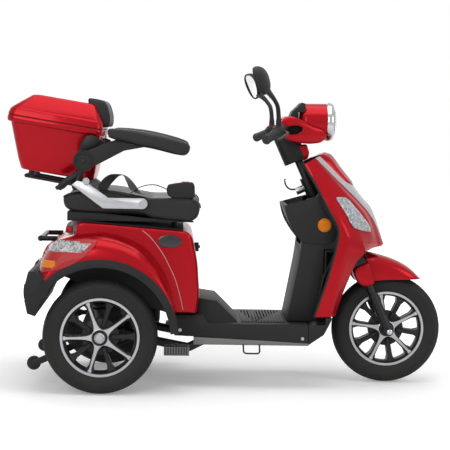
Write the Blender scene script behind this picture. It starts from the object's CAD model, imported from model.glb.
# The looks of the electric trike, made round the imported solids.
# Places are drawn in millimetres from the rear axle's ground point, as the solids are.
# The function at() turns them into the frame.
import math

import bmesh
import bpy
from mathutils import Matrix, Vector
from mathutils.bvhtree import BVHTree


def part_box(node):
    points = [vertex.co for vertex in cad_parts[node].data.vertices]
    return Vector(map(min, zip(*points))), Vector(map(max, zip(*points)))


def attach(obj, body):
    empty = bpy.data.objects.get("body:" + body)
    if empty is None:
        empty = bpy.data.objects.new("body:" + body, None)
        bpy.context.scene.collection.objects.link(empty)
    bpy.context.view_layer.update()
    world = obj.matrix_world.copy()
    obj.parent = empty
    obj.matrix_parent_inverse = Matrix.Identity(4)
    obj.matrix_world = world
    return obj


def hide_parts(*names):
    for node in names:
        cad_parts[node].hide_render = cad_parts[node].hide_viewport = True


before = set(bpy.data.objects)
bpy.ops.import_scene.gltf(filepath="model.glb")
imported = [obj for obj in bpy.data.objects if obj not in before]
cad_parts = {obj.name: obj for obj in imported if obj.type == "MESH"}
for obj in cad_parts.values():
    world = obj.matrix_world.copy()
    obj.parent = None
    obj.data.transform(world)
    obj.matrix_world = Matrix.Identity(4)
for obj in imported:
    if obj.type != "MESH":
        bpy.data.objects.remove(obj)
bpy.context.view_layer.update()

AXLE_X = -451.074
TRACK = 620.0
WHEELBASE = 1047.0
TYRE_R = 202.0
CASE_TILT = math.radians(8.8)
CASE_X, CASE_Z = -174.5, 946.5


def at(x, y, z):
    return Vector(((x + AXLE_X) / 1000, y / 1000, z / 1000))


def case_at(x, y, z):
    c, s = math.cos(CASE_TILT), math.sin(CASE_TILT)
    return (CASE_X + x * c + z * s, y, CASE_Z - x * s + z * c)


# shapes as (points, faces, finish number)
def merged(*forms):
    points, faces, kinds = [], [], []
    for p, f, k in forms:
        faces += [tuple(i + len(points) for i in face) for face in f]
        points += list(p)
        kinds += k if isinstance(k, list) else [k] * len(f)
    return points, faces, kinds


def flipped(form):
    p, f, k = form
    return [(x, -y, z) for x, y, z in p], [tuple(reversed(q)) for q in f], k


def both_sides(form):
    return merged(form, flipped(form))


def skin(rows, kind=0, close_u=False, close_v=False, ends=False):
    n, m = len(rows), len(rows[0])
    points = [tuple(p) for row in rows for p in row]
    faces = []
    for i in range(n if close_v else n - 1):
        for j in range(m if close_u else m - 1):
            a, b = i * m + j, i * m + (j + 1) % m
            c, d = ((i + 1) % n) * m + (j + 1) % m, ((i + 1) % n) * m + j
            faces.append((a, b, c, d))
    if ends:
        faces.append(tuple(reversed(range(m))))
        faces.append(tuple(range((n - 1) * m, n * m)))
    return points, faces, kind


def prism(outline, y_low, y_high):
    """An (x, z) outline carried from one side of the machine towards the other."""
    return skin([[(x, y, z) for x, z in outline] for y in (y_low, y_high)], close_u=True, ends=True)


def slab(low, high):
    (a, b, c), (d, e, f) = low, high
    return prism([(a, c), (d, c), (d, f), (a, f)], b, e)


def turned(profile, centre=(0, 0, 0), steps=64, axis="Y", ends=True, closed=False):
    """Turns a profile of (radius, distance along the axis); closed joins its last point to its first."""
    rows = []
    for r, along in profile:
        row = []
        for i in range(steps):
            t = 2 * math.pi * i / steps
            p, q = r * math.cos(t), r * math.sin(t)
            x, y, z = {"Y": (p, along, q), "X": (along, p, q), "Z": (p, q, along)}[axis]
            row.append((centre[0] + x, centre[1] + y, centre[2] + z))
        rows.append(row)
    return skin(rows, close_u=True, close_v=closed, ends=ends and not closed)


def smooth_line(points, steps=8):
    """A smooth curve through the points, as a list of points."""
    v = [Vector(p) for p in points]
    v = [v[0] * 2 - v[1]] + v + [v[-1] * 2 - v[-2]]
    out = []
    for i in range(1, len(v) - 2):
        for s in range(steps):
            t = s / steps
            a, b, c, d = v[i - 1], v[i], v[i + 1], v[i + 2]
            bend, swing = 2 * a - 5 * b + 4 * c - d, 3 * b - a - 3 * c + d
            out.append(0.5 * (2 * b + (c - a) * t + bend * t * t + swing * t ** 3))
    out.append(v[-2])
    return out


def spaced(points, count):
    """The same path with evenly spaced points."""
    v = [Vector(p) for p in points]
    run = [0.0]
    for a, b in zip(v, v[1:]):
        run.append(run[-1] + (b - a).length)
    out, j = [], 0
    for i in range(count):
        s = run[-1] * i / (count - 1)
        while j < len(v) - 2 and run[j + 1] < s:
            j += 1
        t = (s - run[j]) / max(run[j + 1] - run[j], 1e-9)
        out.append(v[j].lerp(v[j + 1], min(max(t, 0), 1)))
    return out


def eased(points, passes):
    """Rounds the corners of an evenly spaced path."""
    v = [Vector(p) for p in points]
    for _ in range(passes):
        v = [v[0]] + [(v[i - 1] + v[i] * 2 + v[i + 1]) / 4 for i in range(1, len(v) - 1)] + [v[-1]]
    return v


def round_loop(outline, count, passes=0, last=None):
    """A closed (x, z) outline with even steps and eased corners; last is the count after easing."""
    line = eased(spaced([(x, 0, z) for x, z in outline + outline[:1]], count), passes)
    return (spaced(line, last) if last else line)[:-1]


def flat(line):
    return [(p.x, p.z) for p in line]


def pipe(points, radius, sides=12, ends=True, squeeze=1.0):
    """A tube along a path; radius is one number or one for each point, squeeze flattens it from above."""
    v = [Vector(p) for p in points]
    radii = radius if isinstance(radius, (list, tuple)) else [radius] * len(v)
    rows = []
    for i, p in enumerate(v):
        run = (v[min(i + 1, len(v) - 1)] - v[max(i - 1, 0)]).normalized()
        side = run.cross(Vector((0, 0, 1)))
        if side.length < 1e-3:
            side = run.cross(Vector((0, 1, 0)))
        side.normalize()
        top = side.cross(run).normalized()
        rows.append([tuple(p + side * math.cos(t) * radii[i] + top * math.sin(t) * radii[i] * squeeze)
                     for t in [2 * math.pi * j / sides for j in range(sides)]])
    return skin(rows, close_u=True, ends=ends)


def ribbon(points, width, depth, side=(0, 1, 0)):
    """A flat strap along a path, its width along side."""
    v = [Vector(p) for p in points]
    across = Vector(side).normalized()
    rows = []
    for i, p in enumerate(v):
        run = (v[min(i + 1, len(v) - 1)] - v[max(i - 1, 0)]).normalized()
        a = (across - run * across.dot(run)).normalized()
        n = a.cross(run).normalized()
        rows.append([tuple(p + a * s * width / 2 + n * t * depth / 2) for s,
                     t in ((-1, -1), (1, -1), (1, 1), (-1, 1))])
    return skin(rows, close_u=True, ends=True)


def placed(name, mesh):
    obj = bpy.data.objects.new(name, mesh)
    bpy.context.scene.collection.objects.link(obj)
    return obj


def shade_edges(bm, sharp):
    """Smooth faces, with a crease where two of them meet at more than sharp degrees."""
    for f in bm.faces:
        f.smooth = True
    for e in bm.edges:
        e.smooth = e.calc_face_angle(0) < math.radians(sharp)


def piece(name, form, finishes, sharp=40, weld=0.02):
    """An object from a form in millimetres; points closer than weld become one."""
    points, faces, kinds = form
    mesh = bpy.data.meshes.new(name)
    mesh.from_pydata([at(*p) for p in points], [], faces)
    kinds = kinds if isinstance(kinds, list) else [kinds] * len(faces)
    mesh.polygons.foreach_set("material_index", kinds)
    for finish in finishes:
        mesh.materials.append(finish)
    bm = bmesh.new()
    bm.from_mesh(mesh)
    bmesh.ops.remove_doubles(bm, verts=bm.verts, dist=weld / 1000)
    bmesh.ops.recalc_face_normals(bm, faces=bm.faces)
    shade_edges(bm, sharp)
    bm.to_mesh(mesh)
    bm.free()
    return placed(name, mesh)


def keep_result(obj, sharp=None):
    """Makes what the object's modifiers give its plain mesh."""
    graph = bpy.context.evaluated_depsgraph_get()
    mesh = bpy.data.meshes.new_from_object(obj.evaluated_get(graph))
    obj.modifiers.clear()
    old = obj.data
    obj.data = mesh
    mesh.name = obj.name
    bpy.data.meshes.remove(old)
    if sharp is not None:
        bm = bmesh.new()
        bm.from_mesh(mesh)
        shade_edges(bm, sharp)
        bm.to_mesh(mesh)
        bm.free()
    return obj


def worked(obj, kind, sharp=None, **values):
    """Runs one modifier on the object."""
    modifier = obj.modifiers.new(kind.lower(), kind)
    for key, value in values.items():
        setattr(modifier, key, value)
    return keep_result(obj, sharp)


def rounded(obj, width, segments=3, angle=30):
    return worked(obj, "BEVEL", 60, width=width / 1000, segments=segments, limit_method="ANGLE",
                  angle_limit=math.radians(angle), use_clamp_overlap=True, harden_normals=False)


def thick(obj, depth, offset=-1.0, inner_finish=0):
    return worked(obj, "SOLIDIFY", 50, thickness=depth / 1000, offset=offset, use_even_offset=True,
                  material_offset=inner_finish)


def from_solid(name, node, finishes, width):
    """A copy of a solid's mesh with its edges eased."""
    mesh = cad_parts[node].data.copy()
    mesh.name = name
    mesh.materials.clear()
    for finish in finishes:
        mesh.materials.append(finish)
    bm = bmesh.new()
    bm.from_mesh(mesh)
    bmesh.ops.remove_doubles(bm, verts=bm.verts, dist=0.00002)
    bmesh.ops.dissolve_limit(bm, angle_limit=math.radians(1.0), verts=bm.verts, edges=bm.edges)
    for f in bm.faces:
        f.material_index = 0
    shade_edges(bm, 35)
    bm.to_mesh(mesh)
    bm.free()
    for name_of in [a.name for a in mesh.attributes if a.name.startswith("custom")]:
        mesh.attributes.remove(mesh.attributes[name_of])
    return rounded(placed(name, mesh), width, 2, 25)


def settle(obj, body, slot, *nodes):
    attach(obj, body)
    if nodes:
        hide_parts(*nodes)
    return obj


def dress(node, finish):
    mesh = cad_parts[node].data
    mesh.materials.clear()
    mesh.materials.append(finish)


# shader groups
def group_of(name, inputs, outputs, build):
    tree = bpy.data.node_groups.new(name, "ShaderNodeTree")
    for label, kind, value in inputs:
        socket = tree.interface.new_socket(label, in_out="INPUT", socket_type=kind)
        socket.default_value = value
    for label, kind in outputs:
        tree.interface.new_socket(label, in_out="OUTPUT", socket_type=kind)
    start = tree.nodes.new("NodeGroupInput")
    end = tree.nodes.new("NodeGroupOutput")

    def add(kind, links=(), **values):
        node = tree.nodes.new(kind)
        for key, value in values.items():
            if key.startswith("in_"):
                node.inputs[int(key[3:])].default_value = value
            else:
                setattr(node, key, value)
        for socket, source in links:
            tree.links.new(source, node.inputs[socket])
        return node

    def maths(op, a, b=None, c=None):
        node = tree.nodes.new("ShaderNodeMath")
        node.operation = op
        for i, value in enumerate((a, b, c)):
            if value is None:
                continue
            if isinstance(value, (int, float)):
                node.inputs[i].default_value = value
            else:
                tree.links.new(value, node.inputs[i])
        return node.outputs[0]

    for label, source in build(add, maths, start.outputs).items():
        tree.links.new(source, end.inputs[label])
    return tree


FLOAT = "NodeSocketFloat"


def build_mottle(add, maths, given):
    """Slow clouding for shade, and fine clouding for gloss and relief."""
    place = add("ShaderNodeTexCoord").outputs["Object"]
    slow = add("ShaderNodeTexNoise", [("Vector", place), ("Scale", given["Cloud Scale"])], in_3=3.0)
    fine = add("ShaderNodeTexNoise", [("Vector", place), ("Scale", given["Grain Scale"])], in_3=4.0)
    shade = maths("MULTIPLY_ADD", maths("SUBTRACT", slow.outputs[0], 0.5), given["Contrast"], 0.5)
    return {"Shade": maths("MAXIMUM", maths("MINIMUM", shade, 1.0), 0.0), "Grain": fine.outputs[0]}


def build_pebble(add, maths, given):
    """Pebbled grain of moulded plastic and upholstery."""
    place = add("ShaderNodeTexCoord").outputs["Object"]
    bend = add("ShaderNodeTexNoise", [("Vector", place), ("Scale", given["Scale"])], in_3=2.0)
    mixed = add("ShaderNodeMixRGB", [("Color1", place), ("Color2", bend.outputs[1])], in_0=0.004)
    cells = add("ShaderNodeTexVoronoi", [("Vector", mixed.outputs[0]), ("Scale", given["Scale"])])
    rise = maths("MINIMUM", maths("MULTIPLY", cells.outputs["Distance"], given["Steepness"]), 1.0)
    return {"Height": maths("SUBTRACT", 1.0, maths("POWER", rise, 2.0)), "Cell": cells.outputs["Color"]}


def build_soil(add, maths, given):
    """Dust that gathers low down and in a fine cloud elsewhere."""
    place = add("ShaderNodeTexCoord").outputs["Object"]
    parts = add("ShaderNodeSeparateXYZ", [("Vector", place)])
    low = maths("SUBTRACT", 1.0, maths("DIVIDE", parts.outputs["Z"], given["Reach"]))
    low = maths("MAXIMUM", low, 0.0)
    cloud = add("ShaderNodeTexNoise", [("Vector", place), ("Scale", given["Scale"])], in_3=5.0)
    mask = maths("MULTIPLY", maths("ADD", maths("MULTIPLY", low, low), 0.12),
                 maths("MULTIPLY", cloud.outputs[0], given["Amount"]))
    return {"Mask": maths("MINIMUM", mask, 1.0)}


def build_weave(add, maths, given):
    """Crossed threads, read from the strap's own coordinates."""
    place = add("ShaderNodeTexCoord").outputs["Object"]
    parts = add("ShaderNodeSeparateXYZ", [("Vector", place)])
    along = maths("ADD", parts.outputs["X"], parts.outputs["Z"])
    warp = maths("SINE", maths("MULTIPLY", along, given["Threads"]))
    weft = maths("SINE", maths("MULTIPLY", parts.outputs["Y"], given["Threads"]))
    cross = maths("MULTIPLY", warp, weft)
    return {"Height": maths("MULTIPLY_ADD", cross, 0.5, 0.5)}


def build_prisms(add, maths, given):
    """Moulded prisms on the inside of a lamp's lens."""
    place = add("ShaderNodeTexCoord").outputs["Object"]
    parts = add("ShaderNodeSeparateXYZ", [("Vector", place)])
    a = maths("SINE", maths("MULTIPLY", maths("ADD", parts.outputs["X"], parts.outputs["Z"]), given["Pitch"]))
    b = maths("SINE", maths("MULTIPLY", maths("SUBTRACT", parts.outputs["Z"], parts.outputs["X"]),
                            given["Pitch"]))
    return {"Height": maths("MULTIPLY", maths("ABSOLUTE", a), maths("ABSOLUTE", b))}


MOTTLE = group_of("cloud_and_grain", [("Cloud Scale", FLOAT, 6.0), ("Grain Scale", FLOAT, 400.0),
                                      ("Contrast", FLOAT, 1.0)], [("Shade", FLOAT), ("Grain", FLOAT)],
                  build_mottle)
PEBBLE = group_of("pebbled_grain", [("Scale", FLOAT, 500.0), ("Steepness", FLOAT, 1.4)],
                  [("Height", FLOAT), ("Cell", "NodeSocketColor")], build_pebble)
SOIL = group_of("road_dust", [("Reach", FLOAT, 0.35), ("Scale", FLOAT, 14.0), ("Amount", FLOAT, 0.5)],
                [("Mask", FLOAT)], build_soil)
WEAVE = group_of("webbing_weave", [("Threads", FLOAT, 3200.0)], [("Height", FLOAT)], build_weave)
PRISMS = group_of("lens_prisms", [("Pitch", FLOAT, 500.0)], [("Height", FLOAT)], build_prisms)


def filled(node, values):
    for label, value in values.items():
        node.inputs[label].default_value = value
    return node


DUST_COLOUR = (0.32, 0.30, 0.27, 1)


def finish_named(name, colour, rough, metal=0.0, coat=0.0, second=None, relief=None, relief_depth=0.15,
                 relief_size=0.0004, rough_spread=0.08, dust=0.25, cloud=7.0, grain=420.0, sheen=0.0,
                 glass=0.0, shine=0.5, facet=0.0):
    """One surface: cloud and grain in colour and gloss, a relief group, and dust near the ground."""
    material = bpy.data.materials.new(name)
    material.use_nodes = True
    nodes, link = material.node_tree.nodes, material.node_tree.links.new

    def group(tree, values):
        node = nodes.new("ShaderNodeGroup")
        node.node_tree = tree
        return filled(node, values)

    shader = filled(nodes["Principled BSDF"], {"Metallic": metal, "Specular IOR Level": shine})
    if coat:
        filled(shader, {"Coat Weight": coat, "Coat Roughness": 0.04})
    if sheen:
        filled(shader, {"Sheen Weight": sheen, "Sheen Roughness": 0.4})
    if glass:
        filled(shader, {"Transmission Weight": glass})
    mottle = group(MOTTLE, {"Cloud Scale": cloud, "Grain Scale": grain})
    blend = filled(nodes.new("ShaderNodeMixRGB"), {1: (*colour, 1),
                                                   2: (*(second or [c * 0.86 for c in colour]), 1)})
    mix = group(PEBBLE, {"Scale": facet}).outputs["Cell"] if facet else mottle.outputs["Shade"]
    link(mix, blend.inputs[0])
    shown = blend.outputs[0]
    gloss = filled(nodes.new("ShaderNodeMapRange"), {"To Min": max(rough - rough_spread, 0.01),
                                                     "To Max": min(rough + rough_spread, 1.0)})
    link(mottle.outputs["Grain"], gloss.inputs[0])
    rough_out = gloss.outputs[0]
    if dust:
        soil = group(SOIL, {"Amount": dust})
        over = filled(nodes.new("ShaderNodeMixRGB"), {2: DUST_COLOUR})
        link(soil.outputs["Mask"], over.inputs[0])
        link(shown, over.inputs[1])
        shown = over.outputs[0]
        dull = filled(nodes.new("ShaderNodeMath"), {1: 0.5})
        dull.operation, dull.use_clamp = "MULTIPLY_ADD", True
        link(soil.outputs["Mask"], dull.inputs[0])
        link(rough_out, dull.inputs[2])
        rough_out = dull.outputs[0]
    link(shown, shader.inputs["Base Color"])
    link(rough_out, shader.inputs["Roughness"])
    bump = filled(nodes.new("ShaderNodeBump"), {"Strength": relief_depth, "Distance": relief_size})
    link(group(*relief).outputs["Height"] if relief else mottle.outputs["Grain"], bump.inputs["Height"])
    link(bump.outputs[0], shader.inputs["Normal"])
    return material


RED = finish_named("red_lacquer", (0.43, 0.0030, 0.010), 0.24, metal=0.42, coat=0.12,
                   second=(0.34, 0.0022, 0.008), relief_depth=0.03, grain=260, dust=0.02, rough_spread=0.05,
                   shine=0.08)
PLASTIC = finish_named("grained_plastic", (0.017, 0.017, 0.018), 0.58, second=(0.012, 0.012, 0.013),
                       relief=(PEBBLE, {"Scale": 650.0}), relief_depth=0.25, relief_size=0.0003, dust=0.06,
                       shine=0.22)
BLACK_METAL = finish_named("satin_black_steel", (0.008, 0.008, 0.009), 0.38, metal=0.1,
                           second=(0.012, 0.012, 0.012), relief_depth=0.08, dust=0.06, shine=0.25)
GLOSS_BLACK = finish_named("gloss_black", (0.006, 0.006, 0.007), 0.16, coat=0.3, relief_depth=0.03, dust=0.04,
                           shine=0.4)
GREY_PLASTIC = finish_named("grey_moulding", (0.030, 0.030, 0.032), 0.58, second=(0.022, 0.022, 0.024),
                            relief=(PEBBLE, {"Scale": 600.0}), relief_depth=0.2, dust=0.10, shine=0.35)
VINYL = finish_named("seat_vinyl", (0.013, 0.013, 0.014), 0.52, second=(0.009, 0.009, 0.010),
                     relief=(PEBBLE, {"Scale": 380.0}), relief_depth=0.35, relief_size=0.0005, dust=0.02,
                     shine=0.28)
TYRE = finish_named("tyre_rubber", (0.011, 0.011, 0.0115), 0.60, second=(0.016, 0.0155, 0.015),
                    relief_depth=0.3, relief_size=0.0006, grain=300, dust=0.06, shine=0.22)
RUBBER = finish_named("grip_rubber", (0.010, 0.010, 0.011), 0.60, relief=(PEBBLE, {"Scale": 300.0}),
                      relief_depth=0.4, dust=0.05, shine=0.4)
SILVER = finish_named("machined_silver", (0.44, 0.445, 0.46), 0.32, metal=0.8, second=(0.36, 0.365, 0.38),
                      relief_depth=0.05, cloud=30, dust=0.06)
SILVER_PAINT = finish_named("silver_paint", (0.46, 0.465, 0.48), 0.34, metal=0.45, coat=0.3,
                            second=(0.40, 0.405, 0.42), relief_depth=0.03, dust=0.03)
CHROME = finish_named("bright_plating", (0.52, 0.52, 0.54), 0.12, metal=1.0, second=(0.40, 0.40, 0.42),
                      relief_depth=0.02, dust=0.03, rough_spread=0.03)
CAST_BLACK = finish_named("cast_black", (0.010, 0.010, 0.011), 0.42, metal=0.15, second=(0.014, 0.014, 0.015),
                          relief_depth=0.12, dust=0.06, shine=0.25)
MOTOR = finish_named("motor_casing", (0.040, 0.040, 0.042), 0.48, metal=0.5, relief_depth=0.3, dust=0.15)
TRAY_METAL = finish_named("tray_sheet", (0.20, 0.20, 0.195), 0.45, metal=0.4, second=(0.13, 0.13, 0.125),
                          relief_depth=0.06, dust=0.2, cloud=4)
PEG_METAL = finish_named("peg_casting", (0.16, 0.16, 0.165), 0.42, metal=0.6, second=(0.11, 0.11, 0.115),
                         relief_depth=0.2, dust=0.08)
CLEAR = finish_named("clear_moulding", (0.92, 0.93, 0.95), 0.02, glass=1.0, relief=(PRISMS, {"Pitch": 700.0}),
                     relief_depth=0.08, relief_size=0.0004, shine=0.2, dust=0.0, rough_spread=0.03,
                     second=(0.88, 0.89, 0.92))
LENS = finish_named("headlamp_lens", (0.95, 0.96, 0.98), 0.03, glass=0.95, relief_depth=0.05, dust=0.0,
                    rough_spread=0.02, second=(0.92, 0.93, 0.95))
RED_LENS = finish_named("red_lens", (0.42, 0.004, 0.006), 0.16, metal=0.25, coat=0.2, shine=0.3,
                        relief=(PRISMS, {"Pitch": 900.0}), relief_depth=0.5, relief_size=0.0008, dust=0.0,
                        second=(0.34, 0.004, 0.006))
AMBER = finish_named("amber_lens", (0.95, 0.30, 0.002), 0.22, coat=0.1, shine=0.15,
                     relief=(PRISMS, {"Pitch": 1100.0}), relief_depth=0.8, relief_size=0.0010, dust=0.0,
                     second=(0.78, 0.19, 0.002))
REFLECTOR = finish_named("lamp_reflector", (0.80, 0.81, 0.83), 0.20, metal=0.6, facet=170.0,
                         relief=(PRISMS, {"Pitch": 600.0}), relief_depth=0.9, relief_size=0.0020, dust=0.0,
                         second=(0.10, 0.10, 0.11))
BULB = finish_named("bulb_glass", (0.8, 0.8, 0.78), 0.2, relief_depth=0.02, dust=0.0)
PLATE = finish_named("plate_enamel", (0.70, 0.70, 0.70), 0.38, relief_depth=0.05, dust=0.08)
WEB = finish_named("woven_strap", (0.010, 0.010, 0.011), 0.60, relief=(WEAVE, {"Threads": 3000.0}),
                   relief_depth=0.5, relief_size=0.0004, dust=0.0, sheen=0.2)
BUTTON = finish_named("red_button", (0.45, 0.01, 0.01), 0.35, relief_depth=0.04, dust=0.0)
GLASS = finish_named("mirror_glass", (0.80, 0.82, 0.84), 0.02, metal=1.0, relief_depth=0.01, dust=0.0,
                     rough_spread=0.01)
PIN_LINE = finish_named("pin_line", (0.60, 0.36, 0.38), 0.4, relief_depth=0.02, dust=0.0)


# geometry node trees
def node_tree(name, sockets):
    tree = bpy.data.node_groups.new(name, "GeometryNodeTree")
    tree.interface.new_socket("Geometry", in_out="INPUT", socket_type="NodeSocketGeometry")
    for label, kind in sockets:
        tree.interface.new_socket(label, in_out="INPUT", socket_type=kind)
    tree.interface.new_socket("Geometry", in_out="OUTPUT", socket_type="NodeSocketGeometry")
    start, end = tree.nodes.new("NodeGroupInput"), tree.nodes.new("NodeGroupOutput")

    def add(kind, links=(), values=(), **props):
        node = tree.nodes.new(kind)
        for key, value in props.items():
            setattr(node, key, value)
        for socket, value in values:
            node.inputs[socket].default_value = value
        for socket, source in links:
            tree.links.new(source, node.inputs[socket])
        return node

    def close(geometry, finish):
        plain = add("GeometryNodeRealizeInstances", [("Geometry", geometry)])
        painted = add("GeometryNodeSetMaterial", [("Geometry", plain.outputs[0]), ("Material", finish)])
        tree.links.new(painted.outputs[0], end.inputs[0])

    return tree, start.outputs, add, close


def copies_round_axis():
    """Copies of the piece turned about the Y axis through a centre."""
    tree, given, add, close = node_tree("copies_round_axis", [
        ("Copies", "NodeSocketInt"), ("Centre", "NodeSocketVector"), ("First Turn", "NodeSocketFloat"),
                                                              ("Finish", "NodeSocketMaterial")])
    centres = add("GeometryNodePoints", [("Count", given["Copies"]), ("Position", given["Centre"])])
    index = add("GeometryNodeInputIndex")
    step = add("ShaderNodeMath", [(1, given["Copies"])], [(0, math.tau)], operation="DIVIDE")
    angle = add("ShaderNodeMath", [(0, index.outputs[0]), (1, step.outputs[0]), (2, given["First Turn"])],
                operation="MULTIPLY_ADD")
    turn = add("ShaderNodeCombineXYZ", [("Y", angle.outputs[0])])
    made = add("GeometryNodeInstanceOnPoints", [("Points", centres.outputs[0]),
                                                ("Instance", given["Geometry"]),
                                                ("Rotation", turn.outputs[0])])
    close(made.outputs[0], given["Finish"])
    return tree


def heads_on_points():
    """A domed fastener on every point, standing along the point's facing."""
    tree, given, add, close = node_tree("heads_on_points", [
        ("Radius", "NodeSocketFloat"), ("Height", "NodeSocketFloat"), ("Sides", "NodeSocketInt"),
                                                            ("Finish", "NodeSocketMaterial")])
    washer = add("GeometryNodeMeshCylinder", [("Radius", given["Radius"])], [("Vertices", 20)])
    washer_depth = add("ShaderNodeMath", [(0, given["Height"])], [(1, 0.3)], operation="MULTIPLY")
    head_radius = add("ShaderNodeMath", [(0, given["Radius"])], [(1, 0.68)], operation="MULTIPLY")
    head = add("GeometryNodeMeshCone", [("Vertices", given["Sides"]), ("Depth", given["Height"]),
                                        ("Radius Bottom", head_radius.outputs[0])], [("Side Segments", 1)])
    top_radius = add("ShaderNodeMath", [(0, head_radius.outputs[0])], [(1, 0.8)], operation="MULTIPLY")
    tree.links.new(top_radius.outputs[0], head.inputs["Radius Top"])
    tree.links.new(washer_depth.outputs[0], washer.inputs["Depth"])
    both = add("GeometryNodeJoinGeometry", [("Geometry", washer.outputs[0])])
    tree.links.new(head.outputs[0], both.inputs["Geometry"])
    facing = add("GeometryNodeInputNamedAttribute", values=[("Name", "facing")], data_type="FLOAT_VECTOR")
    aim = add("FunctionNodeAlignRotationToVector", [("Vector", facing.outputs[0])], axis="Z")
    made = add("GeometryNodeInstanceOnPoints", [("Points", given["Geometry"]), ("Instance", both.outputs[0]),
                                                ("Rotation", aim.outputs[0])])
    close(made.outputs[0], given["Finish"])
    return tree


def stitches_on_line():
    """Short threads laid end to end along a line."""
    tree, given, add, close = node_tree("stitches_on_line", [
        ("Pitch", "NodeSocketFloat"), ("Thread", "NodeSocketFloat"), ("Finish", "NodeSocketMaterial")])
    curve = add("GeometryNodeMeshToCurve", [("Mesh", given["Geometry"])])
    spots = add("GeometryNodeResampleCurve", [("Curve", curve.outputs[0]), ("Length", given["Pitch"])],
                mode="LENGTH")
    run = add("GeometryNodeInputTangent")
    aim = add("FunctionNodeAlignRotationToVector", [("Vector", run.outputs[0])], axis="Z")
    part = add("ShaderNodeMath", [(0, given["Pitch"])], [(1, 0.62)], operation="MULTIPLY")
    thread = add("GeometryNodeMeshCylinder", [("Radius", given["Thread"]), ("Depth", part.outputs[0])],
                 [("Vertices", 6)])
    made = add("GeometryNodeInstanceOnPoints", [("Points", spots.outputs[0]), ("Instance", thread.outputs[0]),
                                                ("Rotation", aim.outputs[0])])
    close(made.outputs[0], given["Finish"])
    return tree


def coil_of_wire():
    """A coil spring along the Z axis, placed and turned."""
    tree, given, add, close = node_tree("coil_of_wire", [
        ("Turns", "NodeSocketFloat"), ("Coil Radius", "NodeSocketFloat"), ("Length", "NodeSocketFloat"),
                                                         ("Wire", "NodeSocketFloat"),
        ("Foot", "NodeSocketVector"), ("Lean", "NodeSocketVector"), ("Finish", "NodeSocketMaterial")])
    spiral = add("GeometryNodeCurveSpiral", [("Rotations", given["Turns"]),
                                             ("Start Radius", given["Coil Radius"]),
                                             ("End Radius", given["Coil Radius"]),
                                             ("Height", given["Length"])], [("Resolution", 20)])
    ring = add("GeometryNodeCurvePrimitiveCircle", [("Radius", given["Wire"])], [("Resolution", 8)])
    wire = add("GeometryNodeCurveToMesh", [("Curve", spiral.outputs[0]), ("Profile Curve", ring.outputs[0])],
               [("Fill Caps", True)])
    stood = add("GeometryNodeTransform", [("Geometry", wire.outputs[0]), ("Translation", given["Foot"]),
                                          ("Rotation", given["Lean"])])
    close(stood.outputs[0], given["Finish"])
    return tree


TREES = {"ring": copies_round_axis(), "heads": heads_on_points(), "stitch": stitches_on_line(),
         "coil": coil_of_wire()}


def grown(obj, tree, values, sharp=40):
    """Runs a tree on the object and keeps the result as its plain mesh."""
    modifier = obj.modifiers.new("grown", "NODES")
    modifier.node_group = tree
    for item in tree.interface.items_tree:
        if item.item_type == "SOCKET" and item.in_out == "INPUT" and item.name in values:
            modifier[item.identifier] = values[item.name]
    return keep_result(obj, sharp)


def round_axis(name, form, count, centre, first, finish, sharp=40):
    """The form is drawn round the origin, in millimetres, and copied round the Y axis at the centre."""
    points, faces, kinds = form
    obj = piece(name, ([(x - AXLE_X, y, z) for x, y, z in points], faces, 0), [finish], sharp)
    return grown(obj, TREES["ring"], {"Copies": count, "Centre": at(*centre),
                                      "First Turn": -math.radians(first), "Finish": finish}, sharp)


def fasteners(name, spots, radius, height, finish, sides):
    """Domed heads at (place, facing) spots."""
    mesh = bpy.data.meshes.new(name)
    mesh.from_pydata([at(*p) for p, _ in spots], [], [])
    facing = mesh.attributes.new("facing", "FLOAT_VECTOR", "POINT")
    for i, (_, d) in enumerate(spots):
        facing.data[i].vector = d
    return grown(placed(name, mesh), TREES["heads"], {"Radius": radius / 1000, "Height": height / 1000,
                                                      "Sides": sides, "Finish": finish}, 30)


def stitched(name, path, pitch, thread, finish):
    """A seam's thread along the path."""
    v = [at(*p) for p in path]
    mesh = bpy.data.meshes.new(name)
    mesh.from_pydata(v, [(i, i + 1) for i in range(len(v) - 1)], [])
    return grown(placed(name, mesh), TREES["stitch"], {"Pitch": pitch / 1000, "Thread": thread / 1000,
                                                       "Finish": finish}, 60)


# camera, lights and floor
YAW, PITCH, ROLL = 0.034723, 0.075684, 0.019097
EYE = (261.4, -5145.5, 967.2)
FOCAL_PIXELS, PICTURE_PIXELS = 1391.59, 450.0
look = Vector((math.sin(YAW) * math.cos(PITCH), math.cos(YAW) * math.cos(PITCH), -math.sin(PITCH)))
right = Vector((math.cos(YAW), -math.sin(YAW), 0))
above = right.cross(look)
level = right
right = level * math.cos(ROLL) + above * math.sin(ROLL)
above = above * math.cos(ROLL) - level * math.sin(ROLL)
camera_data = bpy.data.cameras.new("camera")
camera_data.sensor_width = 36.0
camera_data.lens = FOCAL_PIXELS * camera_data.sensor_width / PICTURE_PIXELS
camera = placed("camera", camera_data)
camera.matrix_world = Matrix.Translation(at(*EYE)) @ Matrix((right, above, -look)).transposed().to_4x4()
bpy.context.scene.camera = camera
bpy.context.scene.view_settings.view_transform = "Standard"

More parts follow.
